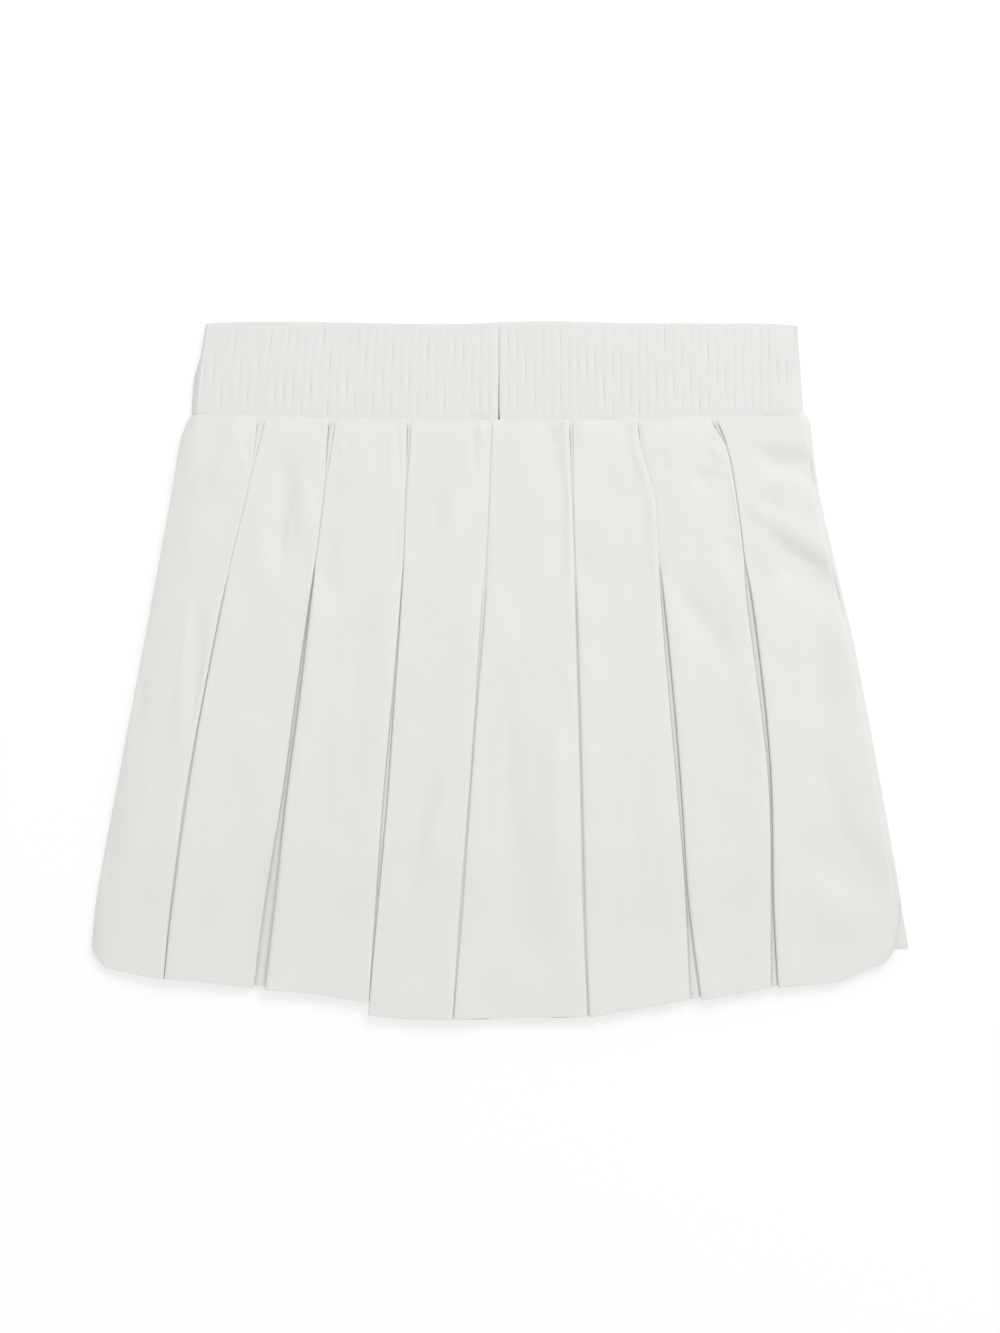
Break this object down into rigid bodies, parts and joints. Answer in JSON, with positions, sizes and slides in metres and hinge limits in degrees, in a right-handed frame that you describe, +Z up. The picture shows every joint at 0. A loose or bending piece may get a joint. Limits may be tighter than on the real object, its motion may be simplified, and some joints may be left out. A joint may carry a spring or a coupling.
{
  "type": "pleated skort",
  "caption": "Garment laid flat on its front: rib waistband over a skirt of inverted box pleats, stitched shut at the hips and open below, with inner shorts.",
  "frame": {"origin": "middle of the laid-flat garment, on the surface that it lies on", "axes": "+X across the garment to the right as it is seen from above, +Y from the hem to the waistband, +Z up out of the back of the garment"},
  "size_m": [0.468, 0.4015, 0.013],
  "materials": {
    "rib_knit": "off-white rib knit, matt",
    "skirt_knit": "off-white smooth knit, soft sheen",
    "shorts_knit": "off-white smooth knit, matt"
  },
  "bodies": {
    "root": {"waistband": "rib_knit", "skirt_back": "skirt_knit", "skirt_front": "skirt_knit", "shorts_left": "shorts_knit", "shorts_right": "shorts_knit"}
  },
  "joints": []
}
